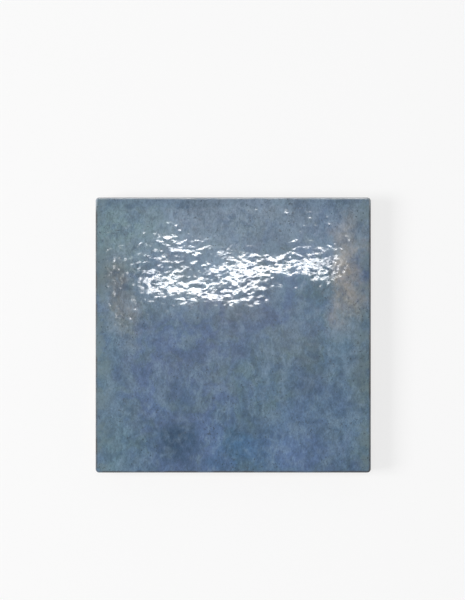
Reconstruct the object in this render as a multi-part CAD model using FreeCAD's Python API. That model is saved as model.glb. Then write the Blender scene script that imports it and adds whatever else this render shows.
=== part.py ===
"""A small square wall tile: one pressed and fired slab with a soft, handmade-looking glazed face.

The slab is a rounded square. Its face undulates in long, low waves that calm down towards
the rim, where the face rolls off and turns over a soft arris. The sides have a straight
land below the arris and then draw in towards the back, as a pressing die leaves them. The
back is chamfered all round and keyed for adhesive by rows of shallow drafted pockets, with
a flat grid of ribs between them that the tile rests on.

Frame, in millimetres: the origin is the centre of the rib plane, +Z rises out of the glazed
face, and the sides are square to X and Y.
"""
import FreeCAD, Part
import math
import os

# Outline
TILE_SIDE = 117.0
TILE_THICKNESS = 10.0
CORNER_RADIUS = 1.5

# Sides and edges
ARRIS_RADIUS = 1.0
SIDE_LAND = 4.5
SIDE_DRAW_IN = 0.5
BACK_CHAMFER = 0.6

# Glazed face: how far in from the rim it rolls off, by how much, and its long waves
ROLL_OFF_WIDTH = 5.0
ROLL_OFF_DROP = 0.1
WAVE_HEIGHT = 0.08
WAVE_LENGTH = 61.0
RIM_WAVE_SHARE = 0.6
WAVE_TRAINS = (
    # share of the height, share of the length, heading and phase in degrees
    (1.00, 1.00, 24.0, 40.0),
    (0.70, 0.71, 108.0, 200.0),
    (0.45, 0.52, 63.0, 310.0),
    (0.32, 0.41, 155.0, 95.0),
)
FACE_GRID_STEP = 3.5

# Keyed back
BACK_BORDER = 6.5
RIB_WIDTH = 2.6
POCKETS_PER_SIDE = 8
POCKET_DEPTH = 0.8
POCKET_DRAFT = 0.4

# Worked out from the sizes above
HALF_SIDE = TILE_SIDE / 2
HIGHEST_WAVE = WAVE_HEIGHT * sum(train[0] for train in WAVE_TRAINS)
LAND_BOTTOM = TILE_THICKNESS - ROLL_OFF_DROP - ARRIS_RADIUS - SIDE_LAND
POCKET_FIELD = TILE_SIDE - 2 * BACK_BORDER
POCKET_SIDE = (POCKET_FIELD - (POCKETS_PER_SIDE - 1) * RIB_WIDTH) / POCKETS_PER_SIDE
POCKET_PITCH = POCKET_SIDE + RIB_WIDTH


def tile_outline(inset, z):
    """The tile's rounded square at height z, drawn in evenly all round by the inset."""
    reach = HALF_SIDE - inset
    flat = HALF_SIDE - CORNER_RADIUS
    bulge = flat + (CORNER_RADIUS - inset) * math.sqrt(0.5)
    edges = []
    for quarter in range(4):
        turn = FreeCAD.Rotation(FreeCAD.Vector(0, 0, 1), 90 * quarter)
        side_start, side_end, corner_middle, corner_end = (
            turn.multVec(FreeCAD.Vector(x, y, z))
            for x, y in ((reach, -flat), (reach, flat), (bulge, bulge), (flat, reach))
        )
        edges.append(Part.LineSegment(side_start, side_end).toShape())
        edges.append(Part.Arc(side_end, corner_middle, corner_end).toShape())
    return Part.Wire(edges)


def level_share(offset):
    """How level the face is at an offset from the middle: 1 inside the roll-off, 0 at the rim."""
    into_roll_off = (abs(offset) - (HALF_SIDE - ROLL_OFF_WIDTH)) / ROLL_OFF_WIDTH
    t = min(max(into_roll_off, 0.0), 1.0)
    return 1 - t * t * (3 - 2 * t)


def face_height(x, y):
    """Height of the glazed face over the rib plane, before the arris is rounded."""
    level = level_share(x) * level_share(y)
    waves = 0.0
    for height_share, length_share, heading, phase in WAVE_TRAINS:
        along = x * math.cos(math.radians(heading)) + y * math.sin(math.radians(heading))
        angle = 2 * math.pi * along / (WAVE_LENGTH * length_share) + math.radians(phase)
        waves += WAVE_HEIGHT * height_share * math.cos(angle)
    calm = RIM_WAVE_SHARE + (1 - RIM_WAVE_SHARE) * level
    return TILE_THICKNESS - ROLL_OFF_DROP * (1 - level) + waves * calm


def air_over_face():
    """The solid of air above the glazed face, wider than the tile on every side."""
    steps = 2 * math.ceil((HALF_SIDE + FACE_GRID_STEP) / FACE_GRID_STEP)
    first = -steps / 2 * FACE_GRID_STEP
    places = [first + FACE_GRID_STEP * n for n in range(steps + 1)]
    rows = [[FreeCAD.Vector(x, y, face_height(x, y)) for y in places] for x in places]
    surface = Part.BSplineSurface()
    surface.interpolate(rows)
    headroom = 4 * HIGHEST_WAVE + ROLL_OFF_DROP + ARRIS_RADIUS
    return surface.toShape().extrude(FreeCAD.Vector(0, 0, headroom))


def pressed_slab():
    """The slab as the die leaves it: chamfered back, drawn-in sides, straight land, flat top."""
    back_to_land = [
        tile_outline(SIDE_DRAW_IN + BACK_CHAMFER, 0),
        tile_outline(SIDE_DRAW_IN, BACK_CHAMFER),
        tile_outline(0, LAND_BOTTOM),
    ]
    drawn_in = Part.makeLoft(back_to_land, True, True)
    rise = TILE_THICKNESS + HIGHEST_WAVE - LAND_BOTTOM
    straight = Part.Face(back_to_land[-1]).extrude(FreeCAD.Vector(0, 0, rise))
    return drawn_in.fuse(straight)


def rim_edges(solid, face):
    """The edges of the solid that bound the given face."""
    return [edge for edge in solid.Edges if any(edge.isSame(rim) for rim in face.OuterWire.Edges)]


def square_wire(side, x, y, z):
    """A closed square wire about the point x, y, level at height z."""
    reach = side / 2
    corners = [
        FreeCAD.Vector(x + across * reach, y + along * reach, z)
        for across, along in ((-1, -1), (1, -1), (1, 1), (-1, 1))
    ]
    return Part.makePolygon(corners + corners[:1])


def back_pocket(x, y):
    """One shallow pocket, wider at its mouth than at its floor so that the die lets go."""
    mouth = square_wire(POCKET_SIDE, x, y, 0)
    floor = square_wire(POCKET_SIDE - 2 * POCKET_DRAFT, x, y, POCKET_DEPTH)
    return Part.makeLoft([mouth, floor], True, True)


def back_pockets():
    """All the pockets of the keyed back, in rows and columns about the middle."""
    first = -(POCKETS_PER_SIDE - 1) / 2 * POCKET_PITCH
    places = [first + POCKET_PITCH * n for n in range(POCKETS_PER_SIDE)]
    return [back_pocket(x, y) for x in places for y in places]


def square_tile():
    """The whole tile as one solid."""
    slab = pressed_slab().cut(air_over_face())
    glazed_face = max(slab.Faces, key=lambda face: face.CenterOfMass.z)
    rounded = slab.makeFillet(ARRIS_RADIUS, rim_edges(slab, glazed_face))
    return rounded.cut(back_pockets())


def write_part(name, shape):
    """Writes one piece as a STEP file, after checking that it is one sound solid."""
    solids = shape.Solids
    assert len(solids) == 1 and solids[0].isValid(), name + " is not one valid solid"
    solids[0].exportStep(os.path.join("parts", name + ".step"))
    box = solids[0].BoundBox
    print(name, "box", [round(v, 3) for v in (box.XLength, box.YLength, box.ZMin, box.ZMax)],
          "volume", round(solids[0].Volume, 1), "faces", len(solids[0].Faces))


os.makedirs("parts", exist_ok=True)
write_part("square_tile", square_tile())
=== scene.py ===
"""The looks of one small square wall tile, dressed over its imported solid.

The tile is one pressed and fired slab with a watery blue-grey glaze. Its face keeps the long
waves of the solid and adds the fine ripples that the glaze froze into. The glaze turns over
the arris, thins there, and stops in a wandering line part of the way down the sides. Below
that line, and on the keyed back, the bare buff body shows.

Lengths are in metres, except in the materials, whose patterns are laid out in millimetres.
The tile lies on its back, its face looks up along +Z, and the camera looks straight down on it.
"""
import logging
import math
from collections.abc import Sequence
from dataclasses import dataclass, field
from enum import Enum

import bmesh
import bpy
from mathutils import Matrix, Vector, noise

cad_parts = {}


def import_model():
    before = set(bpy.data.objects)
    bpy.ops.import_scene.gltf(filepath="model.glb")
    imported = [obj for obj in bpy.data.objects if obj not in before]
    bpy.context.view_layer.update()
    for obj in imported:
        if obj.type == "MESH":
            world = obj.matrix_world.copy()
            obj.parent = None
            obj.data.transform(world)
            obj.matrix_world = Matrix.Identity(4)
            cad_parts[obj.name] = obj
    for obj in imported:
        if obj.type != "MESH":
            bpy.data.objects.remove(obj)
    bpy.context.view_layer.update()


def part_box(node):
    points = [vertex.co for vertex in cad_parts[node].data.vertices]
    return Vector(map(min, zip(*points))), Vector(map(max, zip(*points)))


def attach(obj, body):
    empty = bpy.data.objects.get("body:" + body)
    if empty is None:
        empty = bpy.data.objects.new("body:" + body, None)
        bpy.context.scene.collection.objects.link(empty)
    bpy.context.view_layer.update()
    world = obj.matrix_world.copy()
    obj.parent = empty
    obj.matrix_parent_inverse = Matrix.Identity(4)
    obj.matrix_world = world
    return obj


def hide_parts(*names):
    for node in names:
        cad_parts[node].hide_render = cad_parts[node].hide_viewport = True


LOG = logging.getLogger("square_tile")
MM = 0.001

Socket = bpy.types.NodeSocket
Colour = tuple[float, float, float, float]
Triple = tuple[float, float, float]
Geometry = list[bmesh.types.BMVert | bmesh.types.BMEdge | bmesh.types.BMFace]


def linear(red: int, green: int, blue: int) -> Colour:
    """A display colour of 0 to 255 a channel, as the linear colour that shaders take.

    Args:
        red: The red channel.
        green: The green channel.
        blue: The blue channel.

    Returns:
        The linear colour with an alpha of 1.
    """
    shares = [channel / 255 for channel in (red, green, blue)]
    bent = [s / 12.92 if s <= 0.04045 else ((s + 0.055) / 1.055) ** 2.4 for s in shares]
    return (bent[0], bent[1], bent[2], 1.0)


def verts_among(geometry: Geometry) -> list[bmesh.types.BMVert]:
    """The vertices among what an operator gave back."""
    return [item for item in geometry if isinstance(item, bmesh.types.BMVert)]


def open_edges_among(geometry: Geometry) -> list[bmesh.types.BMEdge]:
    """The edges among what an operator gave back that have a face on one side only."""
    edges = [item for item in geometry if isinstance(item, bmesh.types.BMEdge)]
    return [edge for edge in edges if edge.is_boundary]


@dataclass(frozen=True)
class WaveTrain:
    """One train of long, low waves in the face, with its angles in degrees."""

    height: float
    length: float
    heading: float
    phase: float

    def lift(self, x: float, y: float) -> float:
        """How far this train lifts the face at a place.

        Args:
            x: The place across the tile.
            y: The place along the tile.

        Returns:
            The lift, positive on a crest and negative in a trough.
        """
        heading = math.radians(self.heading)
        along = x * math.cos(heading) + y * math.sin(heading)
        return self.height * math.cos(math.tau * along / self.length + math.radians(self.phase))


@dataclass(frozen=True)
class Ripple:
    """One size of the fine ripples in the glaze, drawn out along its heading in degrees."""

    height: float
    length: float
    stretch: float
    heading: float
    start: Triple

    def lift(self, x: float, y: float) -> float:
        """How far this ripple lifts the face at a place.

        Args:
            x: The place across the tile.
            y: The place along the tile.

        Returns:
            The lift, positive on a crest and negative in a dip.
        """
        heading = math.radians(self.heading)
        along = (x * math.cos(heading) + y * math.sin(heading)) / (self.length * self.stretch)
        across = (y * math.cos(heading) - x * math.sin(heading)) / self.length
        return self.height * noise.noise(Vector((along, across, 0.0)) + Vector(self.start))


@dataclass(frozen=True)
class FaceRelief:
    """The height of the glazed face: the solid's long waves and roll-off, then the ripples.

    The rippled face is sunk a little, so that its crests stay within the height of the solid. The
    ripples calm down towards the rim, and a slow noise bends them so that they don't run straight.
    """

    half_side: float
    thickness: float = 10.0 * MM
    roll_off_width: float = 5.0 * MM
    roll_off_drop: float = 0.1 * MM
    rim_wave_share: float = 0.6
    trains: tuple[WaveTrain, ...] = (
        WaveTrain(0.0800 * MM, 61.00 * MM, 24.0, 40.0),
        WaveTrain(0.0560 * MM, 43.31 * MM, 108.0, 200.0),
        WaveTrain(0.0360 * MM, 31.72 * MM, 63.0, 310.0),
        WaveTrain(0.0256 * MM, 25.01 * MM, 155.0, 95.0),
    )
    ripples: tuple[Ripple, ...] = (
        Ripple(0.012 * MM, 11.0 * MM, 1.2, 12.0, (3.1, 7.7, 1.9)),
        Ripple(0.028 * MM, 4.4 * MM, 1.2, 18.0, (11.3, 2.9, 5.2)),
        Ripple(0.0195 * MM, 1.75 * MM, 1.1, -9.0, (6.4, 13.8, 8.5)),
    )
    ripple_sink: float = 0.05 * MM
    rim_ripple_share: float = 0.6
    bend: float = 2.2 * MM
    bend_length: float = 17.0 * MM
    bend_starts: tuple[float, float] = (4.0, 9.0)

    def level_share(self, offset: float) -> float:
        """How level the face is at an offset from the middle of the tile.

        Args:
            offset: The offset, across or along the tile.

        Returns:
            1 inside the roll-off and 0 at the rim.
        """
        inner = self.half_side - self.roll_off_width
        t = min(max((abs(offset) - inner) / self.roll_off_width, 0.0), 1.0)
        return 1 - t * t * (3 - 2 * t)

    def level(self, x: float, y: float) -> float:
        """How level the face is at a place."""
        return self.level_share(x) * self.level_share(y)

    def solid_height(self, x: float, y: float) -> float:
        """The height of the solid's own face, before its arris is rounded.

        Args:
            x: The place across the tile.
            y: The place along the tile.

        Returns:
            The height over the plane that the tile lies on.
        """
        level = self.level(x, y)
        calm = self.rim_wave_share + (1 - self.rim_wave_share) * level
        waves = sum(train.lift(x, y) for train in self.trains)
        return self.thickness - self.roll_off_drop * (1 - level) + waves * calm

    def ripple_height(self, x: float, y: float) -> float:
        """What the ripples add, measured from their own mean.

        Args:
            x: The place across the tile.
            y: The place along the tile.

        Returns:
            The lift, positive on a crest and negative in a dip.
        """
        at = Vector((x, y, 0.0)) / self.bend_length
        bend_x, bend_y = (noise.noise(at + Vector((0.0, 0.0, z))) for z in self.bend_starts)
        bent_x, bent_y = x + self.bend * bend_x, y + self.bend * bend_y
        share = self.rim_ripple_share + (1 - self.rim_ripple_share) * self.level(x, y)
        return share * sum(ripple.lift(bent_x, bent_y) for ripple in self.ripples)

    def deepest_ripple(self) -> float:
        """The most that the ripples together could lift or sink the face."""
        return sum(ripple.height for ripple in self.ripples)


@dataclass(frozen=True)
class Station:
    """One ring of the tile's section: how far out it lies, how high, and what covers it.

    The last two run from 0 to 1: how glazed the ring is, and how much of the arris colour lies
    there, over the arris and at the glaze's own edge. The arris colour is a darker glaze break
    with painted shade, and along the far rim a painted highlight.
    """

    out: float
    height: float
    glazed: float
    arris: float


@dataclass(frozen=True)
class SideSection:
    """The section from the rim of the face, over the arris and down the side to the back.

    The rings of the glazed side are shares of the way down to the glaze's edge, each with how
    much of the arris colour it takes. The rings of that edge are shares of the side's wave inwards
    and of the glaze's end upwards, each with how glazed it is and how much of the arris colour it
    takes. The arris colour is a darker glaze break with painted shade, and along the far rim a
    painted highlight. The bare steps count the glaze's ends from its line down to where the arris
    colour is gone, and down to the highest that the foot of the land may be. The rings of the
    chamfer are shares of its ease, outwards and upwards.
    """

    arris_radius: float = 1.0 * MM
    arris_steps: int = 6
    land_bottom: float = 4.4 * MM
    draw_in: float = 0.5 * MM
    back_chamfer: float = 0.6 * MM
    chamfer_ease: float = 0.16 * MM
    chamfer_rings: tuple[tuple[float, float], ...] = ((0.15, 1.0), (-0.2, 0.0), (-1.0, -1.0))
    glaze_line: float = 5.3 * MM
    line_wander: float = 0.75 * MM
    line_wander_length: float = 15.0 * MM
    drip_share: float = 0.4
    drip_fineness: float = 3.3
    glaze_thickness: float = 0.13 * MM
    glaze_end: float = 0.22 * MM
    glazed_rings: tuple[tuple[float, float], ...] = ((0.3, 0.0), (0.62, 0.0), (0.9, 0.08))
    edge_rings: tuple[tuple[float, float, float, float], ...] = (
        (0.3, 1.0, 1.0, 0.35),
        (0.6, 0.35, 0.9, 0.9),
    )
    edge_break_and_shade: float = 0.9
    bare_steps: tuple[float, float] = (2.0, 3.0)
    side_wave: float = 0.07 * MM
    side_wave_length: float = 7.0 * MM
    side_wave_squash: float = 1.6

    def wandering_line(self, x: float, y: float) -> float:
        """How high the glaze ends on the side.

        Args:
            x: The place on the rim, across the tile.
            y: The place on the rim, along the tile.

        Returns:
            The height over the plane that the tile lies on.
        """
        at = Vector((x, y, 0.0)) / self.line_wander_length
        drips = noise.noise(at) + self.drip_share * noise.noise(self.drip_fineness * at)
        return self.glaze_line + self.line_wander * drips

    def waviness(self, x: float, y: float, height: float) -> float:
        """How far the glazed side lies inside its straight land at a place."""
        at = Vector((x, y, self.side_wave_squash * height)) / self.side_wave_length
        return self.side_wave * (0.5 + 0.5 * noise.noise(at))

    def stations(self, x: float, y: float, rim_height: float) -> list[Station]:
        """The rings below one place on the rim of the face, from the arris to the back.

        Args:
            x: The place across the tile.
            y: The place along the tile.
            rim_height: The height of the face at its rim there.

        Returns:
            The stations in order, with how far out measured from the rim.
        """
        line = self.wandering_line(x, y)
        rings = self._arris(rim_height) + self._glazed_side(x, y, rim_height, line)
        bare = self.arris_radius - self.glaze_thickness - self.side_wave
        clean, foot = (line - steps * self.glaze_end for steps in self.bare_steps)
        rings.append(Station(bare, line, 0.0, self.edge_break_and_shade))
        rings.append(Station(bare, clean, 0.0, 0.0))
        rings.append(Station(bare, min(self.land_bottom, foot), 0.0, 0.0))
        return rings + self._back_edge()

    def _arris(self, rim_height: float) -> list[Station]:
        """The rings of the round arris.

        Args:
            rim_height: The height of the face at its rim.

        Returns:
            The stations, in steps of equal turn.
        """
        rings = []
        for step in range(1, self.arris_steps + 1):
            turn = math.radians(90 * step / self.arris_steps)
            drop = self.arris_radius * (1 - math.cos(turn))
            # How much of the arris colour lies here: a glaze break with painted shade, and along
            # the far rim a painted highlight.
            break_and_shade = math.sin(min(2 * turn, math.pi / 2 + turn))
            out = self.arris_radius * math.sin(turn)
            rings.append(Station(out, rim_height - drop, 1.0, break_and_shade))
        return rings

    def _glazed_side(self, x: float, y: float, rim_height: float, line: float) -> list[Station]:
        """The rings of the glazed side, and of the glaze's rounded edge below it.

        Args:
            x: The place across the tile.
            y: The place along the tile.
            rim_height: The height of the face at its rim there.
            line: How high the glaze ends there.

        Returns:
            The stations in order.
        """
        top = rim_height - self.arris_radius
        rings = []
        for share, break_and_shade in self.glazed_rings:
            height = top + (line + self.glaze_end - top) * share
            out = self.arris_radius - self.waviness(x, y, height)
            rings.append(Station(out, height, 1.0, break_and_shade))
        for inward, upward, glazed, break_and_shade in self.edge_rings:
            out = self.arris_radius - inward * self.side_wave
            rings.append(Station(out, line + upward * self.glaze_end, glazed, break_and_shade))
        return rings

    def _back_edge(self) -> list[Station]:
        """The rings round the eased chamfer at the foot of the side.

        Returns:
            The stations in order, the last in the plane of the back.
        """
        foot, chamfer, ease = self.arris_radius - self.draw_in, self.back_chamfer, self.chamfer_ease
        spots = [(foot + out * ease, chamfer + up * ease) for out, up in self.chamfer_rings]
        spots.append((foot - chamfer, 0.0))
        return [Station(out, height, 0.0, 0.0) for out, height in spots]


@dataclass(frozen=True)
class KeyedBack:
    """The grid of shallow pockets that keys the back for adhesive."""

    per_side: int = 8
    border: float = 6.5 * MM
    rib: float = 2.6 * MM
    depth: float = 0.8 * MM
    draft: float = 0.4 * MM
    corner: float = 1.1 * MM
    corner_steps: int = 4
    ease: float = 0.14 * MM
    ease_reach: float = 0.6

    def pocket(self, tile_side: float) -> float:
        """How wide one pocket is at its mouth."""
        ribs = (self.per_side - 1) * self.rib
        return (tile_side - 2 * self.border - ribs) / self.per_side

    def middles(self, tile_side: float) -> list[float]:
        """Where the middles of the pockets lie along one side of the tile."""
        pitch = self.pocket(tile_side) + self.rib
        return [(n - (self.per_side - 1) / 2) * pitch for n in range(self.per_side)]

    def wall(self) -> list[tuple[float, float]]:
        """How far in from its mouth a pocket's wall lies, and how deep.

        Returns:
            The places in order from the ribs to the floor, past an eased edge at either end.
        """
        lean = self.ease * self.draft / self.depth
        reach = self.ease_reach * self.ease
        top, bottom = (lean, self.ease), (self.draft - lean, self.depth - self.ease)
        return [(-reach, 0.0), top, bottom, (self.draft + reach, self.depth)]

    def ring(self, tile_side: float) -> list[tuple[float, float]]:
        """The points round a pocket's mouth: a square with round corners.

        Args:
            tile_side: The side of the tile.

        Returns:
            The points in order, about the pocket's middle.
        """
        flat = self.pocket(tile_side) / 2 - self.corner
        points = []
        for quarter, (side_x, side_y) in enumerate(((1, 1), (-1, 1), (-1, -1), (1, -1))):
            for step in range(self.corner_steps + 1):
                turn = math.radians(90 * (quarter + step / self.corner_steps))
                x = side_x * flat + self.corner * math.cos(turn)
                points.append((x, side_y * flat + self.corner * math.sin(turn)))
        return points


class Cover(Enum):
    """The mesh attributes that tell the material what covers a point."""

    GLAZED = "glazed"
    # How much of the arris colour lies at a point: a glaze break with painted shade, and along the
    # far rim a painted highlight.
    ARRIS = "arris"
    POOL = "pool"


Covers = dict[Cover, bmesh.types.BMLayerItem]


@dataclass
class GlazedTile:
    """The tile itself, as one closed mesh in place of its solid."""

    side: float
    corner_radius: float = 1.5 * MM
    face_segments: int = 260
    rim_crowding: float = 0.5
    section: SideSection = field(default_factory=SideSection)
    back: KeyedBack = field(default_factory=KeyedBack)
    crease: float = math.radians(34)

    @property
    def relief(self) -> FaceRelief:
        """The relief of this tile's face."""
        return FaceRelief(half_side=self.side / 2)

    def build(self) -> bpy.types.Object:
        """Models the tile and adds it to the scene.

        Returns:
            The tile, at the origin, with its place in its mesh.
        """
        shell = bmesh.new()
        covers = {cover: shell.verts.layers.float.new(cover.value) for cover in Cover}
        self._lay_face(shell, covers)
        foot = self._turn_down_sides(shell, covers)
        mouths = self._lay_pockets(shell)
        bmesh.ops.triangle_fill(shell, use_beauty=True, edges=foot + mouths)
        bmesh.ops.recalc_face_normals(shell, faces=shell.faces)
        mesh = bpy.data.meshes.new("glazed_tile")
        shell.to_mesh(mesh)
        shell.free()
        mesh.shade_smooth()
        mesh.set_sharp_from_angle(angle=self.crease)
        tile = bpy.data.objects.new("glazed_tile", mesh)
        bpy.context.scene.collection.objects.link(tile)
        return tile

    def _crowded(self, share: float) -> float:
        """Moves a grid line's share of the half face so that lines crowd at the rim."""
        return (1 - self.rim_crowding) * share + self.rim_crowding * math.sin(share * math.pi / 2)

    def _lay_face(self, shell: bmesh.types.BMesh, covers: Covers) -> None:
        """Lays the face inside the arris as a fine grid, and lifts it to its relief.

        Args:
            shell: The mesh to lay it in.
            covers: The attribute layers of the mesh.
        """
        radius = self.section.arris_radius
        half = self.side / 2 - radius
        count = self.face_segments
        bmesh.ops.create_grid(shell, x_segments=count, y_segments=count, size=1.0)
        relief = self.relief
        for vert in shell.verts:
            x, y = (half * self._crowded(share) for share in vert.co.xy)
            x, y = self._round_corner(x, y, half, self.corner_radius - radius)
            ripple = relief.ripple_height(x, y)
            vert.co = (x, y, relief.solid_height(x, y) + ripple - relief.ripple_sink)
            vert[covers[Cover.GLAZED]] = 1.0
            vert[covers[Cover.POOL]] = 0.5 - ripple / relief.deepest_ripple()

    def _round_corner(self, x: float, y: float, half: float, radius: float) -> tuple[float, float]:
        """Draws a place in a square corner in to where it lies in a round one.

        Args:
            x: The place across the square.
            y: The place along the square.
            half: Half of the square's side.
            radius: The radius of the round corner.

        Returns:
            The place moved, or the same place where it isn't in a corner.
        """
        start = half - radius
        into_x, into_y = abs(x) - start, abs(y) - start
        if into_x <= 0 or into_y <= 0:
            return x, y
        pull = max(into_x, into_y) / math.hypot(into_x, into_y)
        round_x, round_y = start + into_x * pull, start + into_y * pull
        return math.copysign(round_x, x), math.copysign(round_y, y)

    def _turn_down_sides(
        self, shell: bmesh.types.BMesh, covers: Covers
    ) -> list[bmesh.types.BMEdge]:
        """Extrudes the rim of the face ring by ring, over the arris and down to the back.

        Args:
            shell: The mesh with the face in it.
            covers: The attribute layers of the mesh.

        Returns:
            The edges of the last ring, which lies in the plane of the back.
        """
        start = self.side / 2 - self.corner_radius
        rim_layer = shell.verts.layers.float_vector.new("rim")
        out_layer = shell.verts.layers.float_vector.new("outward")
        ring = open_edges_among(list(shell.edges))
        for vert in dict.fromkeys(vert for edge in ring for vert in edge.verts):
            inside = Vector((min(max(c, -start), start) for c in vert.co.xy))
            outward = (vert.co.xy - inside).normalized()
            vert[rim_layer] = vert.co
            vert[out_layer] = (outward.x, outward.y, 0.0)
        ring_count = len(self.section.stations(0.0, 0.0, self.relief.thickness))
        for number in range(ring_count):
            grown = bmesh.ops.extrude_edge_only(shell, edges=ring)["geom"]
            for vert in verts_among(grown):
                rim = vert[rim_layer]
                station = self.section.stations(rim.x, rim.y, rim.z)[number]
                place = rim + vert[out_layer] * station.out
                vert.co = (place.x, place.y, station.height)
                vert[covers[Cover.GLAZED]] = station.glazed
                vert[covers[Cover.ARRIS]] = station.arris
            ring = open_edges_among(grown)
        for name in ("rim", "outward"):
            shell.verts.layers.float_vector.remove(shell.verts.layers.float_vector[name])
        return ring

    def _lay_pockets(self, shell: bmesh.types.BMesh) -> list[bmesh.types.BMEdge]:
        """Lays the pockets of the back in rows and columns.

        Args:
            shell: The mesh with the face and the sides in it.

        Returns:
            The edges round all their mouths, which the ribs of the back join on to.
        """
        pattern = self._sink_pocket(shell)
        middles = self.back.middles(self.side)
        mouths = []
        for place in ((x, y, 0.0) for x in middles for y in middles):
            copy = bmesh.ops.duplicate(shell, geom=pattern)["geom"]
            bmesh.ops.translate(shell, vec=place, verts=verts_among(copy))
            mouths += open_edges_among(copy)
        bmesh.ops.delete(shell, geom=verts_among(pattern), context="VERTS")
        return mouths

    def _sink_pocket(self, shell: bmesh.types.BMesh) -> Geometry:
        """Makes one pocket in the middle of the back, open at its mouth.

        Args:
            shell: The mesh to make it in.

        Returns:
            All its vertices, edges and faces.
        """
        points = self.back.ring(self.side)
        verts = bmesh.ops.create_circle(shell, radius=1.0, segments=len(points))["verts"]
        for vert, (x, y) in zip(verts, points):
            vert.co = (x, y, 0.0)
        edges = list(dict.fromkeys(edge for vert in verts for edge in vert.link_edges))
        half = self.back.pocket(self.side) / 2
        spots = self.back.wall()
        reach = half - spots[0][0]
        bmesh.ops.scale(shell, vec=(reach / half, reach / half, 1.0), verts=verts)
        pocket = verts + edges
        for (before, top), (inward, height) in zip(spots, spots[1:]):
            grown = bmesh.ops.extrude_edge_only(shell, edges=edges)["geom"]
            verts = verts_among(grown)
            shrink = (half - inward) / (half - before)
            bmesh.ops.scale(shell, vec=(shrink, shrink, 1.0), verts=verts)
            bmesh.ops.translate(shell, vec=(0.0, 0.0, height - top), verts=verts)
            edges = open_edges_among(grown)
            pocket += grown
        return pocket + bmesh.ops.contextual_create(shell, geom=edges)["faces"]


class Mixing(Enum):
    """How one colour is laid over another."""

    COVER = "MIX"
    DARKEN = "MULTIPLY"


@dataclass(frozen=True)
class Ease:
    """How one range becomes another: smoothly between its ends, and held beyond them."""

    start: float
    end: float
    least: float = 0.0
    most: float = 1.0


@dataclass(frozen=True)
class Cloud:
    """Soft noise about 0.5, with blobs of about the given size in millimetres.

    Its shift moves it aside, so that clouds of one size don't repeat each other.
    """

    size: float
    detail: float = 2.0
    roughness: float = 0.5
    shift: Triple = (0.0, 0.0, 0.0)


class Graph:
    """A short way to write the shader nodes of one material, lamp or world."""

    def __init__(self, tree: bpy.types.NodeTree) -> None:
        """Starts from an empty tree."""
        self.tree = tree
        tree.nodes.clear()

    def node(
        self, kind: str, inputs: dict[str | int, object] | None = None, **settings: object
    ) -> bpy.types.Node:
        """Adds a node.

        Args:
            kind: The node's type.
            inputs: Values or sockets for its inputs, by name or number.
            settings: The node's own settings.

        Returns:
            The new node.
        """
        made = self.tree.nodes.new(kind)
        for name, value in settings.items():
            setattr(made, name, value)
        for name, value in (inputs or {}).items():
            if isinstance(value, Socket):
                self.tree.links.new(value, made.inputs[name])
            else:
                made.inputs[name].default_value = value
        return made

    def math(self, operation: str, first: Socket | float, second: Socket | float = 0.0) -> Socket:
        """The result of one sum on one or two values."""
        return self.node("ShaderNodeMath", {0: first, 1: second}, operation=operation).outputs[0]

    def product(self, first: Socket | float, second: Socket | float) -> Socket:
        """One value times another."""
        return self.math("MULTIPLY", first, second)

    def off_middle(self, value: Socket) -> Socket:
        """How far a value lies from 0.5, to either side."""
        return self.math("ABSOLUTE", self.math("SUBTRACT", value, 0.5))

    def eased(self, value: Socket, ease: Ease) -> Socket:
        """Eases a value's range on to another.

        Args:
            value: The value to move.
            ease: The two ranges.

        Returns:
            The moved value.
        """
        inputs = {"Value": value, 1: ease.start, 2: ease.end, 3: ease.least, 4: ease.most}
        moved = self.node("ShaderNodeMapRange", inputs, interpolation_type="SMOOTHSTEP")
        return moved.outputs["Result"]

    def mapped(self, place: Socket, **inputs: Triple) -> Socket:
        """A place moved, turned or scaled by the named inputs of a Mapping node."""
        return self.node("ShaderNodeMapping", {"Vector": place, **inputs}).outputs[0]

    def axis(self, place: Socket, number: int) -> Socket:
        """One of a place's three coordinates."""
        return self.node("ShaderNodeSeparateXYZ", {0: place}).outputs[number]

    def noise(self, place: Socket, cloud: Cloud) -> bpy.types.Node:
        """The noise node of a cloud.

        Args:
            place: The place in millimetres.
            cloud: The cloud.

        Returns:
            The node, whose first output is the value and whose Color is three values.
        """
        if any(cloud.shift):
            place = self.mapped(place, Location=cloud.shift)
        inputs = {
            "Vector": place,
            "Scale": 1 / cloud.size,
            "Detail": cloud.detail,
            "Roughness": cloud.roughness,
        }
        return self.node("ShaderNodeTexNoise", inputs, noise_dimensions="3D")

    def cloud(self, place: Socket, cloud: Cloud) -> Socket:
        """The value of a cloud at each place."""
        return self.noise(place, cloud).outputs[0]

    def mix(
        self,
        share: Socket | float,
        under: Socket | Colour,
        over: Socket | Colour,
        how: Mixing = Mixing.COVER,
    ) -> Socket:
        """Lays one colour over another.

        Args:
            share: How much of the upper colour there is.
            under: The lower colour.
            over: The upper colour.
            how: How the two meet.

        Returns:
            The mixed colour.
        """
        inputs = {"Factor": share, 6: under, 7: over}
        mixed = self.node("ShaderNodeMix", inputs, data_type="RGBA", blend_type=how.value)
        return mixed.outputs[2]

    def shaded(self, colour: Socket, brightness: Socket) -> Socket:
        """A colour made darker or lighter by a brightness of about 1."""
        grey = self.node("ShaderNodeCombineColor", {0: brightness, 1: brightness, 2: brightness})
        return self.mix(1.0, colour, grey.outputs[0], Mixing.DARKEN)

    def cover(self, cover: Cover) -> Socket:
        """One of the mesh's own point values."""
        return self.node("ShaderNodeAttribute", attribute_name=cover.value).outputs["Fac"]


@dataclass(frozen=True)
class Patches:
    """A share of something that comes and goes in soft patches."""

    cloud: Cloud
    ease: Ease

    def share(self, graph: Graph, place: Socket) -> Socket:
        """The share at each place."""
        return graph.eased(graph.cloud(place, self.cloud), self.ease)


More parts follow.
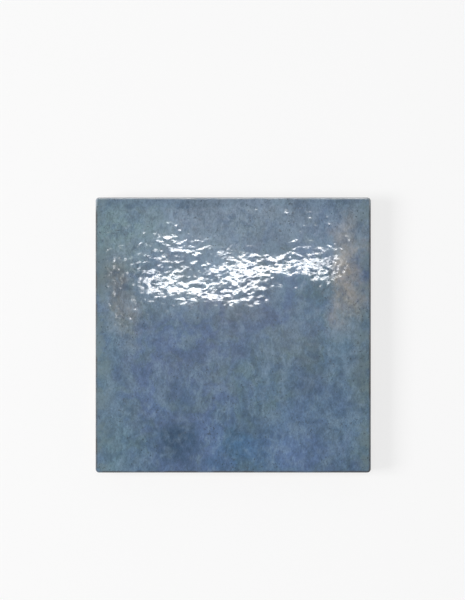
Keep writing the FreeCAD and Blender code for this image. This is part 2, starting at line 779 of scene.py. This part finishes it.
@dataclass(frozen=True)
class Dots:
    """A share that is high on small dots, with about the given spacing in millimetres."""

    spacing: float
    ease: Ease

    def share(self, graph: Graph, place: Socket) -> Socket:
        """The share at each place."""
        cells = graph.node("ShaderNodeTexVoronoi", {"Vector": place, "Scale": 1 / self.spacing})
        return graph.eased(cells.outputs["Distance"], self.ease)


@dataclass(frozen=True)
class Tint:
    """A colour that lies over another in soft patches."""

    colour: Colour
    patches: Patches

    def lay(self, graph: Graph, place: Socket, under: Socket) -> Socket:
        """Lays the tint over a colour."""
        return graph.mix(self.patches.share(graph, place), under, self.colour)


@dataclass(frozen=True)
class Bloom:
    """A soft patch in the glaze, placed in millimetres from the tile's middle.

    It is so high that it covers the sides below it as it covers the face. Most are patches of the
    glaze's own colour; a few lighten the top of the tile as painted sheen.
    """

    colour: Colour
    middle: tuple[float, float]
    reach: tuple[float, float]
    share: float
    turn: float = 0.0
    height: float = 1000.0

    def lay(self, graph: Graph, place: Socket, under: Socket) -> Socket:
        """Lays the patch over a colour.

        Args:
            graph: The material's nodes.
            place: The place on the tile in millimetres, already a little disturbed.
            under: The colour below the patch.

        Returns:
            The colour with the patch in it.
        """
        inputs = {
            "Vector": place,
            "Location": (*self.middle, 0.0),
            "Rotation": (0.0, 0.0, math.radians(self.turn)),
            "Scale": (*self.reach, self.height),
        }
        spot = graph.node("ShaderNodeMapping", inputs, vector_type="TEXTURE").outputs[0]
        ball = graph.node("ShaderNodeTexGradient", {"Vector": spot}, gradient_type="SPHERICAL")
        share = graph.eased(ball.outputs["Fac"], Ease(0.0, 1.0, 0.0, self.share))
        return graph.mix(share, under, self.colour)


@dataclass(frozen=True)
class BlueGlaze:
    """The watery blue-grey glaze: its ground colours, its patches, and its gloss.

    The layers stand in the order in which they are laid. The bands beside the rims are in
    millimetres from the tile's middle. The first three blooms lighten the top of the tile as
    painted sheen. Over the arris lies a darker glaze break with painted shade, and along the far
    rim a painted highlight.
    """

    slate: Colour = linear(92, 115, 148)
    teal: Colour = linear(93, 119, 141)
    ground: Patches = Patches(Cloud(34.0), Ease(0.38, 0.62))
    drift: Cloud = Cloud(13.0, 3.0, 0.6)
    drift_reach: Triple = (26.0, 26.0, 0.0)
    tints: tuple[Tint, ...] = (
        Tint(
            linear(94, 112, 144),
            Patches(Cloud(22.0, shift=(80.0, 20.0, 0.0)), Ease(0.48, 0.66, most=0.5)),
        ),
        Tint(
            linear(99, 122, 124),
            Patches(Cloud(8.0, 3.0, shift=(-30.0, -70.0, 0.0)), Ease(0.5, 0.64, most=0.4)),
        ),
        Tint(
            linear(90, 109, 146),
            Patches(Cloud(8.0, 3.0, shift=(-30.0, -70.0, 0.0)), Ease(0.5, 0.36, most=0.3)),
        ),
    )
    blooms_and_sheen: tuple[Bloom, ...] = (
        # The first three are painted sheen that lightens the top of the tile; the second is also
        # partly a green-teal tint of the glaze.
        Bloom(linear(126, 144, 162), (0.0, 54.0), (96.0, 34.0), 0.75),
        Bloom(linear(122, 150, 152), (-46.0, 44.0), (30.0, 24.0), 0.7, 10.0),
        Bloom(linear(124, 142, 156), (54.0, 48.0), (18.0, 20.0), 0.7),
        Bloom(linear(118, 118, 112), (-47.0, 15.0), (12.0, 30.0), 0.7, 4.0),
        Bloom(linear(168, 162, 150), (48.0, 26.0), (11.0, 34.0), 0.8, -4.0),
        Bloom(linear(70, 100, 112), (36.0, 19.0), (17.0, 14.0), 0.6, 20.0),
        Bloom(linear(118, 140, 152), (-25.0, 20.0), (24.0, 18.0), 0.65, 35.0),
        Bloom(linear(84, 98, 118), (0.0, 12.0), (24.0, 18.0), 0.6),
        Bloom(linear(94, 110, 112), (26.0, -6.0), (22.0, 16.0), 0.55, -20.0),
        Bloom(linear(92, 108, 138), (-26.0, -16.0), (20.0, 14.0), 0.5, 15.0),
        Bloom(linear(92, 106, 136), (34.0, -21.0), (18.0, 14.0), 0.5),
        Bloom(linear(106, 132, 140), (-53.0, -14.0), (12.0, 44.0), 0.6),
        Bloom(linear(106, 124, 132), (54.0, -12.0), (10.0, 40.0), 0.5),
        Bloom(linear(108, 138, 148), (-50.0, -48.0), (18.0, 22.0), 0.8),
        Bloom(linear(52, 79, 104), (-24.0, -47.0), (15.0, 12.0), 0.75, 10.0),
        Bloom(linear(72, 112, 152), (6.0, -48.0), (22.0, 12.0), 0.7),
        Bloom(linear(98, 122, 162), (30.0, -44.0), (32.0, 20.0), 0.65, 8.0),
    )
    pooled: Colour = linear(74, 98, 128)
    pooling: Ease = Ease(0.5, 0.85, most=0.4)
    thinned: Colour = linear(122, 144, 162)
    thinning: Ease = Ease(0.5, 0.15, most=0.3)
    grain_turn: float = math.radians(-24)
    grain_scale: Triple = (1.0, 0.6, 1.0)
    wisp: Tint = Tint(
        linear(118, 142, 163), Patches(Cloud(4.6, 8.0, 0.76), Ease(0.52, 0.66, most=0.42))
    )
    swirl: Cloud = Cloud(6.5)
    strand: Ease = Ease(0.07, 0.0, most=0.42)
    strand_groups: Patches = Patches(Cloud(9.0, 3.0), Ease(0.46, 0.6))
    shade: Tint = Tint(
        linear(67, 89, 115),
        Patches(Cloud(3.6, 8.0, 0.78, shift=(-40.0, 90.0, 0.0)), Ease(0.54, 0.66, most=0.5)),
    )
    mottles: tuple[Patches, ...] = (
        Patches(Cloud(14.0, 3.0, 0.75), Ease(0.3, 0.7, 0.87, 1.13)),
        Patches(Cloud(6.0, 3.0, 0.75), Ease(0.3, 0.7, 0.94, 1.06)),
        Patches(Cloud(1.9, 3.0, 0.75), Ease(0.3, 0.7, 0.865, 1.135)),
        Patches(Cloud(0.7, 3.0, 0.75), Ease(0.3, 0.7, 0.85, 1.15)),
    )
    rim_grey: Colour = linear(116, 134, 138)
    rim_band: Ease = Ease(49.0, 57.0)
    rim_patches: Patches = Patches(Cloud(8.0, 4.0, 0.65), Ease(0.4, 0.6, most=0.6))
    # A darker glaze break over the arris, darkened further as painted shade along the tile's edges.
    break_and_shade: Colour = linear(64, 62, 62)
    # A painted highlight: a pale line over the arris of the far rim, as light from that side gives.
    painted_arris_highlight: Colour = linear(176, 182, 186)
    painted_highlight_band: Ease = Ease(52.0, 57.0)
    arris_mark_patches: Patches = Patches(Cloud(6.0, 4.0), Ease(0.35, 0.65, least=0.5))
    pinhole: Colour = linear(44, 50, 56)
    pinholes: Dots = Dots(2.3, Ease(0.17, 0.09))
    pinhole_groups: Patches = Patches(Cloud(16.0), Ease(0.5, 0.62, most=0.6))
    fleck: Colour = linear(66, 76, 88)
    fleck_shift: Triple = (19.0, -47.0, 0.0)
    flecks: Patches = Patches(Cloud(1.6, 5.0, 0.75), Ease(0.58, 0.64, most=0.75))
    fleck_groups: Patches = Patches(Cloud(13.0, 3.0), Ease(0.42, 0.6))
    haze_roughness: float = 0.235
    haze_level: float = 0.32
    coat_roughness: float = 0.05
    glass_ior: float = 1.5

    def colour(self, graph: Graph, place: Socket) -> Socket:
        """The colour of the glaze all over the tile.

        Args:
            graph: The material's nodes.
            place: The place on the tile in millimetres.

        Returns:
            The colour.
        """
        stirred = self._stir(graph, place)
        colour = graph.mix(self.ground.share(graph, stirred), self.slate, self.teal)
        # Tints and patches of the glaze, with painted sheen at the top of the tile among the
        # blooms.
        for layer in (*self.tints, *self.blooms_and_sheen):
            colour = layer.lay(graph, stirred, colour)
        pool = graph.cover(Cover.POOL)
        colour = graph.mix(graph.eased(pool, self.pooling), colour, self.pooled)
        colour = graph.mix(graph.eased(pool, self.thinning), colour, self.thinned)
        colour = self._streak(graph, place, colour)
        colour = self._tint_rims_and_paint_arris_light(graph, place, colour)
        return self._pit(graph, place, colour)

    def _stir(self, graph: Graph, place: Socket) -> Socket:
        """Disturbs a place, so that the patches have watery outlines.

        Args:
            graph: The material's nodes.
            place: The place on the tile in millimetres.

        Returns:
            The disturbed place.
        """
        drift = graph.noise(place, self.drift).outputs["Color"]
        inputs = {0: drift, 1: (-0.5, -0.5, -0.5)}
        centred = graph.node("ShaderNodeVectorMath", inputs, operation="ADD").outputs[0]
        inputs = {0: centred, 1: self.drift_reach, 2: place}
        return graph.node("ShaderNodeVectorMath", inputs, operation="MULTIPLY_ADD").outputs[0]

    def _streak(self, graph: Graph, place: Socket, under: Socket) -> Socket:
        """Lays wisps, curling strands, shades and mottling over a colour, all drawn one way.

        Args:
            graph: The material's nodes.
            place: The place on the tile in millimetres.
            under: The colour below them.

        Returns:
            The streaked colour.
        """
        turned = (0.0, 0.0, self.grain_turn)
        drawn = graph.mapped(place, Rotation=turned, Scale=self.grain_scale)
        colour = self.wisp.lay(graph, drawn, under)
        strands = graph.eased(graph.off_middle(graph.cloud(drawn, self.swirl)), self.strand)
        strands = graph.product(strands, self.strand_groups.share(graph, drawn))
        colour = graph.mix(strands, colour, self.wisp.colour)
        colour = self.shade.lay(graph, drawn, colour)
        for mottle in self.mottles:
            colour = graph.shaded(colour, mottle.share(graph, drawn))
        return colour

    def _tint_rims_and_paint_arris_light(self, graph: Graph, place: Socket, under: Socket) -> Socket:
        """Greys the glaze beside two rims, and lays painted light and shade over the arris.

        Args:
            graph: The material's nodes.
            place: The place on the tile in millimetres.
            under: The colour below.

        Returns:
            The colour, with a painted highlight over the arris of the far rim, and elsewhere a
            darker glaze break with painted shade over the arris.
        """
        beside = graph.eased(graph.math("ABSOLUTE", graph.axis(place, 0)), self.rim_band)
        greyed = graph.product(beside, self.rim_patches.share(graph, place))
        colour = graph.mix(greyed, under, self.rim_grey)
        # Painted highlight along the far rim's arris; a glaze break with painted shade elsewhere.
        far = graph.eased(graph.axis(place, 1), self.painted_highlight_band)
        arris_light_and_break = graph.mix(far, self.break_and_shade, self.painted_arris_highlight)
        arris = graph.product(graph.cover(Cover.ARRIS), self.arris_mark_patches.share(graph, place))
        return graph.mix(arris, colour, arris_light_and_break)

    def _pit(self, graph: Graph, place: Socket, under: Socket) -> Socket:
        """Scatters a few dark pinholes and flecks over a colour, in loose groups.

        Args:
            graph: The material's nodes.
            place: The place on the tile in millimetres.
            under: The colour below them.

        Returns:
            The pitted colour.
        """
        groups = self.pinhole_groups.share(graph, place)
        pinholes = graph.product(self.pinholes.share(graph, place), groups)
        colour = graph.mix(pinholes, under, self.pinhole)
        moved = graph.mapped(place, Location=self.fleck_shift)
        groups = self.fleck_groups.share(graph, moved)
        flecks = graph.product(self.flecks.share(graph, moved), groups)
        return graph.mix(flecks, colour, self.fleck)


@dataclass(frozen=True)
class BuffBody:
    """The bare fired body, with a whitish kiln wash on the ribs of the back."""

    buff: Colour = linear(190, 178, 158)
    warm: Colour = linear(172, 154, 130)
    warmth: Patches = Patches(Cloud(24.0, 4.0), Ease(0.35, 0.65))
    grain: Patches = Patches(Cloud(0.6, 3.0, 0.7), Ease(0.25, 0.75, 0.82, 1.14))
    speck: Colour = linear(104, 84, 66)
    specks: Dots = Dots(1.7, Ease(0.2, 0.1, most=0.7))
    wash: Colour = linear(222, 218, 208)
    wash_height: Ease = Ease(0.25, 0.02)
    rubbed: Patches = Patches(Cloud(9.0, 6.0, 0.65), Ease(0.42, 0.58, 0.05, 0.85))
    roughness: float = 0.82

    def colour(self, graph: Graph, place: Socket) -> Socket:
        """The colour of the body all over the tile.

        Args:
            graph: The material's nodes.
            place: The place on the tile in millimetres.

        Returns:
            The colour.
        """
        colour = graph.mix(self.warmth.share(graph, place), self.buff, self.warm)
        colour = graph.shaded(colour, self.grain.share(graph, place))
        colour = graph.mix(self.specks.share(graph, place), colour, self.speck)
        low = graph.eased(graph.axis(place, 2), self.wash_height)
        washed = graph.product(low, self.rubbed.share(graph, place))
        return graph.mix(washed, colour, self.wash)


@dataclass(frozen=True)
class TileFinish:
    """The finish of the whole tile: glaze above the glaze line and bare body below it.

    The dimples are the smooth little hollows that the glaze froze into, which break up its
    reflections. The peel is the glaze's finest relief, and the grain is the body's.
    """

    glaze: BlueGlaze = BlueGlaze()
    body: BuffBody = BuffBody()
    glaze_edge: Ease = Ease(0.25, 0.75)
    dimples: Cloud = Cloud(1.7, 1.0)
    dimple_scale: Triple = (0.7, 1.0, 1.0)
    dimple_strength: float = 0.25
    peel: Cloud = Cloud(1.3, 3.0)
    peel_strength: float = 0.6
    grain: Cloud = Cloud(0.45, 4.0, 0.7)
    grain_strength: float = 2.2
    relief: float = 0.1 * MM

    def build(self) -> bpy.types.Material:
        """Writes the material.

        Returns:
            The material for the whole tile.
        """
        material = bpy.data.materials.new("blue_glazed_ceramic")
        material.use_nodes = True
        graph = Graph(material.node_tree)
        metres = graph.node("ShaderNodeTexCoord").outputs["Object"]
        inputs = {0: metres, "Scale": 1 / MM}
        place = graph.node("ShaderNodeVectorMath", inputs, operation="SCALE").outputs[0]
        glazed = graph.eased(graph.cover(Cover.GLAZED), self.glaze_edge)
        colour = graph.mix(glazed, self.body.colour(graph, place), self.glaze.colour(graph, place))
        inputs = {0: glazed, 3: self.body.roughness, 4: self.glaze.haze_roughness}
        roughness = graph.node("ShaderNodeMapRange", inputs).outputs[0]
        inputs = {
            "Base Color": colour,
            "Roughness": roughness,
            "IOR": self.glaze.glass_ior,
            "Specular IOR Level": self.glaze.haze_level,
            "Coat Weight": glazed,
            "Coat Roughness": self.glaze.coat_roughness,
            "Coat IOR": self.glaze.glass_ior,
            "Normal": self._fine_relief(graph, place, glazed),
            "Coat Normal": self._dimpled(graph, place),
        }
        surface = graph.node("ShaderNodeBsdfPrincipled", inputs)
        graph.node("ShaderNodeOutputMaterial", {"Surface": surface.outputs[0]})
        return material

    def _dimpled(self, graph: Graph, place: Socket) -> Socket:
        """The normal of the glaze's smooth dimples."""
        dimples = graph.cloud(graph.mapped(place, Scale=self.dimple_scale), self.dimples)
        return self._bump(graph, graph.product(dimples, self.dimple_strength))

    def _fine_relief(self, graph: Graph, place: Socket, glazed: Socket) -> Socket:
        """The normal of the finest relief.

        Args:
            graph: The material's nodes.
            place: The place on the tile in millimetres.
            glazed: How glazed the tile is at each place.

        Returns:
            The normal, with orange peel where the tile is glazed and open grain elsewhere.
        """
        peel = graph.product(graph.cloud(place, self.peel), self.peel_strength)
        grain = graph.product(graph.cloud(place, self.grain), self.grain_strength)
        inputs = {"Factor": glazed, 2: grain, 3: peel}
        return self._bump(graph, graph.node("ShaderNodeMix", inputs, data_type="FLOAT").outputs[0])

    def _bump(self, graph: Graph, height: Socket) -> Socket:
        """The normal of a height, whose unit is the depth of the relief."""
        inputs = {"Height": height, "Strength": 1.0, "Distance": self.relief}
        return graph.node("ShaderNodeBump", inputs).outputs[0]


@dataclass(frozen=True)
class Softbox:
    """A flat lamp that shines at the tile's middle, and may show in the glaze as a reflection.

    Its edges fade over shares of its width and height, and its roll is in degrees.
    """

    name: str
    place: Triple
    size: tuple[float, float]
    radiance: float
    fade: tuple[float, float] = (0.0, 0.0)
    mirrored: bool = True
    shining: bool = True
    roll: float = 0.0

    def build(self) -> None:
        """Hangs the lamp."""
        lamp = bpy.data.lights.new(self.name, "AREA")
        lamp.shape = "RECTANGLE"
        lamp.size, lamp.size_y = self.size
        lamp.energy = self.radiance * math.pi * self.size[0] * self.size[1]
        if any(self.fade):
            self._fade_edges(lamp)
        holder = bpy.data.objects.new(self.name, lamp)
        away = Vector(self.place).normalized()
        facing = away.to_track_quat("Z", "Y").to_matrix().to_4x4()
        rolled = Matrix.Rotation(math.radians(self.roll), 4, "Z")
        holder.matrix_world = Matrix.Translation(self.place) @ facing @ rolled
        holder.visible_camera = False
        holder.visible_glossy = self.mirrored
        holder.visible_diffuse = self.shining
        bpy.context.scene.collection.objects.link(holder)

    def _fade_edges(self, lamp: bpy.types.Light) -> None:
        """Lets the lamp grow dimmer towards its edges.

        Args:
            lamp: The lamp, whose own nodes this writes.
        """
        lamp.use_nodes = True
        graph = Graph(lamp.node_tree)
        spot = graph.node("ShaderNodeNewGeometry").outputs["Parametric"]
        strength = 1.0
        for axis, fade in enumerate(self.fade):
            off_middle = graph.off_middle(graph.axis(spot, axis))
            strength = graph.product(graph.eased(off_middle, Ease(0.5, 0.5 - fade)), strength)
        glow = graph.node("ShaderNodeEmission", {"Strength": strength})
        graph.node("ShaderNodeOutputLight", {"Surface": glow.outputs[0]})


@dataclass(frozen=True)
class Studio:
    """A pale floor, a pale world that darkens overhead, and soft lamps.

    The glints are lamps that light nothing and only show in the glaze, seen from the sides. Each
    is a radiance and a place.
    """

    floor_half: float = 4.0
    floor_drop: float = 0.02 * MM
    opening_inset: float = 2.5 * MM
    floor_colour: Colour = linear(246, 246, 246)
    paper: float = 0.985
    lift: float = 0.76
    sky_heights: tuple[float, float] = (0.35, 0.95)
    horizon: float = 0.6
    overhead: float = 0.12
    lamps: tuple[Softbox, ...] = (
        Softbox(
            "window_glint", (-0.002, 0.03, 0.41), (0.132, 0.0192), 29.0, fade=(0.2, 0.4), roll=1.3
        ),
        Softbox("left_softbox", (-2.06, -0.1, 1.6), (1.0, 1.0), 18.5, mirrored=False),
        Softbox("top_softbox", (0.0, 1.1, 0.75), (0.34, 0.24), 10.0, shining=False),
    )
    glint_size: tuple[float, float] = (0.12, 0.018)
    glint_fade: tuple[float, float] = (0.22, 0.45)
    glints: tuple[tuple[float, Triple], ...] = (
        (9.0, (-0.21, 0.27, 0.183)),
        (9.0, (0.21, 0.27, 0.183)),
        (11.0, (-0.33, 0.02, 0.24)),
        (11.0, (0.33, 0.02, 0.24)),
        (5.0, (0.2, -0.3, 0.11)),
        (5.0, (-0.2, -0.3, 0.11)),
        (5.0, (-0.03, -0.38, 0.128)),
    )

    def build(self, tile_side: float) -> None:
        """Lays the floor, colours the world and hangs the lamps.

        Args:
            tile_side: The side of the tile, for the opening under it.
        """
        floor = self._lay_floor(tile_side / 2 - self.opening_inset)
        floor.data.materials.append(self._paper_material())
        self._colour_world()
        for lamp in self.lamps:
            lamp.build()
        for number, (radiance, place) in enumerate(self.glints):
            name = f"side_glint_{number}"
            Softbox(name, place, self.glint_size, radiance, self.glint_fade, shining=False).build()

    def _lay_floor(self, opening_half: float) -> bpy.types.Object:
        """Lays one wide floor, with an opening that the tile covers and that shows its back.

        Args:
            opening_half: Half of the opening's side.

        Returns:
            The floor.
        """
        shape = bmesh.new()
        bmesh.ops.create_grid(shape, x_segments=1, y_segments=1, size=opening_half)
        hidden = list(shape.faces)
        grown = bmesh.ops.extrude_edge_only(shape, edges=list(shape.edges))["geom"]
        grow = self.floor_half / opening_half
        bmesh.ops.scale(shape, vec=(grow, grow, 1.0), verts=verts_among(grown))
        bmesh.ops.delete(shape, geom=hidden, context="FACES_ONLY")
        bmesh.ops.translate(shape, vec=(0.0, 0.0, -self.floor_drop), verts=shape.verts)
        bmesh.ops.recalc_face_normals(shape, faces=shape.faces)
        mesh = bpy.data.meshes.new("floor")
        shape.to_mesh(mesh)
        shape.free()
        floor = bpy.data.objects.new("floor", mesh)
        bpy.context.scene.collection.objects.link(floor)
        return floor

    def _paper_material(self) -> bpy.types.Material:
        """Writes the floor's material, which the camera sees lifted towards white.

        Returns:
            The material.
        """
        material = bpy.data.materials.new("pale_floor")
        material.use_nodes = True
        graph = Graph(material.node_tree)
        matt = graph.node("ShaderNodeBsdfDiffuse", {"Color": self.floor_colour})
        white = (self.paper, self.paper, self.paper, 1.0)
        lit = graph.node("ShaderNodeEmission", {"Color": white})
        seen = graph.node("ShaderNodeLightPath").outputs["Is Camera Ray"]
        share = graph.product(seen, self.lift)
        both = graph.node("ShaderNodeMixShader", {0: share, 1: matt.outputs[0], 2: lit.outputs[0]})
        graph.node("ShaderNodeOutputMaterial", {"Surface": both.outputs[0]})
        return material

    def _colour_world(self) -> None:
        """Colours the world: white paper to the camera, and for light a sky darker overhead."""
        world = bpy.data.worlds.new("studio")
        world.use_nodes = True
        bpy.context.scene.world = world
        graph = Graph(world.node_tree)
        height = graph.axis(graph.node("ShaderNodeTexCoord").outputs["Generated"], 2)
        low, high = self.sky_heights
        inputs = {0: height, 1: low, 2: high, 3: self.horizon, 4: self.overhead}
        sky = graph.node("ShaderNodeMapRange", inputs).outputs[0]
        seen = graph.node("ShaderNodeLightPath").outputs["Is Camera Ray"]
        inputs = {0: seen, 2: sky, 3: self.paper}
        strength = graph.node("ShaderNodeMix", inputs, data_type="FLOAT").outputs[0]
        inputs = {"Color": (1.0, 1.0, 1.0, 1.0), "Strength": strength}
        light = graph.node("ShaderNodeBackground", inputs)
        graph.node("ShaderNodeOutputWorld", {"Surface": light.outputs[0]})


@dataclass(frozen=True)
class DownwardCamera:
    """The camera, straight above and looking down, with the tile framed as the panel was."""

    frame_height: float = 254.8 * MM
    above: float = 1.2
    sensor: float = 36.0
    offset: tuple[float, float] = (-0.3 * MM, 14.9 * MM)

    def build(self, face_height: float) -> None:
        """Hangs the camera and makes it the scene's own.

        Args:
            face_height: The height of the tile's face.
        """
        view = bpy.data.cameras.new("camera")
        view.sensor_fit = "VERTICAL"
        view.sensor_height = self.sensor
        view.lens = self.sensor * self.above / self.frame_height
        camera = bpy.data.objects.new("camera", view)
        camera.location = (*self.offset, face_height + self.above)
        bpy.context.scene.collection.objects.link(camera)
        bpy.context.scene.camera = camera


def main() -> None:
    """Loads the frame, dresses the tile, sets the studio and hangs the camera."""
    logging.basicConfig(level=logging.INFO, format="%(name)s: %(message)s")
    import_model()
    low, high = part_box("square_tile")
    tile = GlazedTile(side=high.x - low.x).build()
    tile.data.materials.append(TileFinish().build())
    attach(tile, "root")
    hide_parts("square_tile")
    LOG.info("%s: %d faces", tile.name, len(tile.data.polygons))
    Studio().build(high.x - low.x)
    DownwardCamera().build(high.z)
    bpy.context.scene.view_settings.view_transform = "Standard"


if __name__ == "__main__":
    main()
